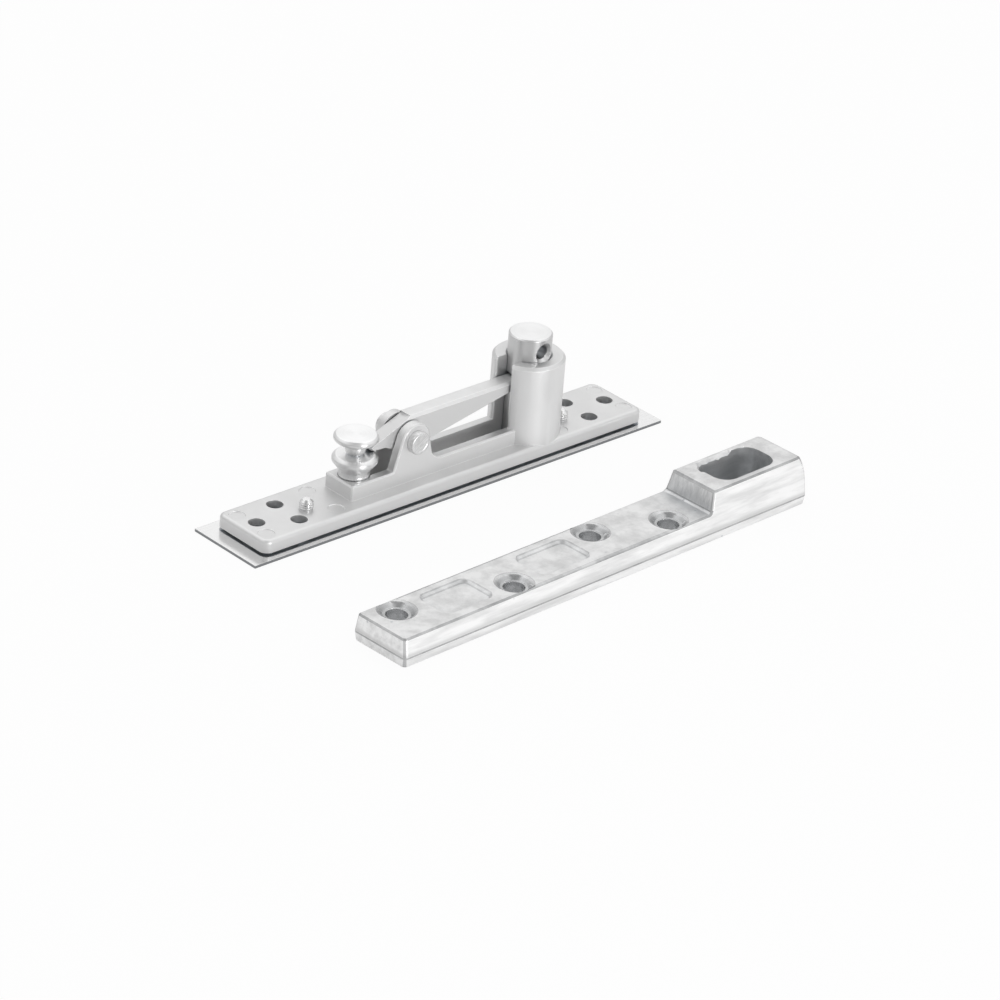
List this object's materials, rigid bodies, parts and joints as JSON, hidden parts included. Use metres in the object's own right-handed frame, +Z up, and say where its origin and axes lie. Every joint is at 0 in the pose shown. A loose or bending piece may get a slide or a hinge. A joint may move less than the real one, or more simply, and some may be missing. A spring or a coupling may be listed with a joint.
{
  "type": "door top pivot",
  "caption": "Top pivot for a swing door: a screw and lever in the frame half push a round pin down into the slotted socket of a cast door strap.",
  "frame": {"origin": "centre of the cover plate's outer face, on the ground", "axes": "+X along the frame half from its screw to its pin, +Y across it away from the door half, +Z up, the way into the head of the door frame"},
  "size_m": [0.1865, 0.108, 0.0431],
  "materials": {
    "cast_body": "satin cast metal, light grey",
    "cast_lever": "matt cast metal, grey",
    "cast_strap": "cast metal with a bright coat, slightly mottled",
    "sheet": "bright sheet",
    "turned_steel": "bright turned steel",
    "small_steel": "plated steel"
  },
  "bodies": {
    "frame": {"frame_body": "cast_body", "cover_plate": "sheet", "cover_screw_left": "small_steel", "cover_screw_right": "small_steel", "hinge_pin": "small_steel", "door_strap": "cast_strap"},
    "lever": {"lever": "cast_lever"},
    "pin": {"pivot_pin": "turned_steel"},
    "screw": {"adjusting_screw": "turned_steel"}
  },
  "joints": [
    {"name": "lever_hinge", "type": "hinge", "parent": "frame", "child": "lever", "pos_m": [-0.0158, 0, 0.0207], "axis": [0, 1, 0], "range_deg": [0, 15.9]},
    {"name": "pin_slide", "type": "slide", "parent": "frame", "child": "pin", "axis": [0, 0, -1], "range_m": [0, 0.014]},
    {"name": "screw_lift", "type": "slide", "parent": "frame", "child": "screw", "axis": [0, 0, 1], "range_m": [0, 0.004]}
  ],
  "couplings": [
    {"joint": "pin_slide", "follows": "lever_hinge", "m_per_rad": 0.050373},
    {"joint": "screw_lift", "follows": "lever_hinge", "m_per_rad": 0.014392}
  ]
}
